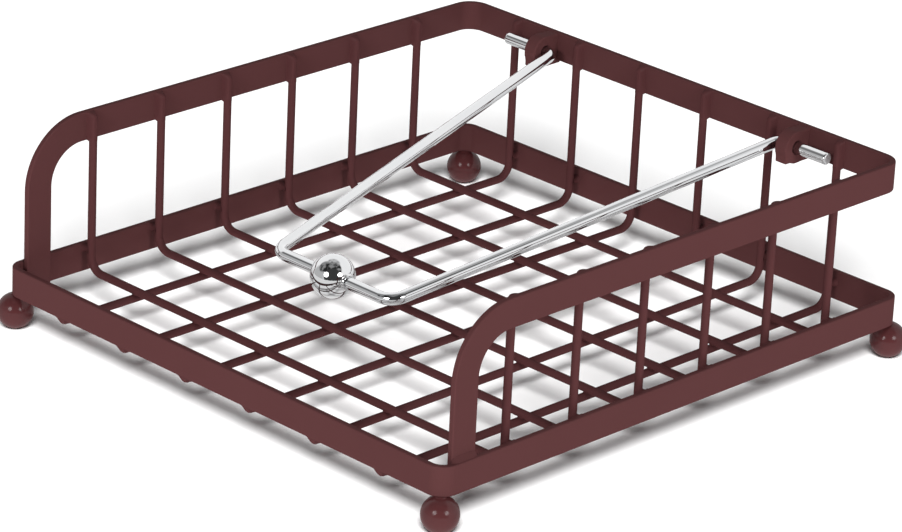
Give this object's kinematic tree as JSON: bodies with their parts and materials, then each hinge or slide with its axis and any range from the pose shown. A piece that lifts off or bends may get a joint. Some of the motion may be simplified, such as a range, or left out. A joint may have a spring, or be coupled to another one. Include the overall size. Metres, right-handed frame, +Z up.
{
  "type": "napkin holder",
  "caption": "Open-fronted wire napkin basket in a flat-strap frame on ball feet, with a hinged chrome wire arm whose ball weight holds the napkins down.",
  "frame": {"origin": "on the table, under the middle of the frame", "axes": "+Z up, +Y from the open front to the back rail where the arm is hinged, +X to the right seen from the front"},
  "size_m": [0.1988, 0.2078, 0.0655],
  "materials": {
    "strap_coat": "satin burgundy-brown powder coat",
    "wire_coat": "satin burgundy-brown powder coat",
    "foot_coat": "satin burgundy-brown powder coat",
    "lug_coat": "satin burgundy-brown powder coat",
    "arm_chrome": "bright chrome plate",
    "ball_chrome": "bright chrome plate"
  },
  "bodies": {
    "basket": {"base_band": "strap_coat", "top_rail": "strap_coat", "side_hoop_1": "wire_coat", "side_hoop_2": "wire_coat", "side_hoop_3": "wire_coat", "side_hoop_4": "wire_coat", "side_hoop_5": "wire_coat", "side_hoop_6": "wire_coat", "back_wire_1": "wire_coat", "back_wire_2": "wire_coat", "back_wire_3": "wire_coat", "back_wire_4": "wire_coat", "back_wire_5": "wire_coat", "back_wire_6": "wire_coat", "foot_front_left": "foot_coat", "foot_front_right": "foot_coat", "foot_back_left": "foot_coat", "foot_back_right": "foot_coat", "pivot_lug_left": "lug_coat", "pivot_lug_right": "lug_coat"},
    "arm": {"arm_wire": "arm_chrome", "arm_ball": "ball_chrome"}
  },
  "joints": [
    {"name": "arm_hinge", "type": "hinge", "parent": "basket", "child": "arm", "pos_m": [0, 0.0911, 0.06], "axis": [-1, 0, 0], "range_deg": [-7, 126]}
  ]
}
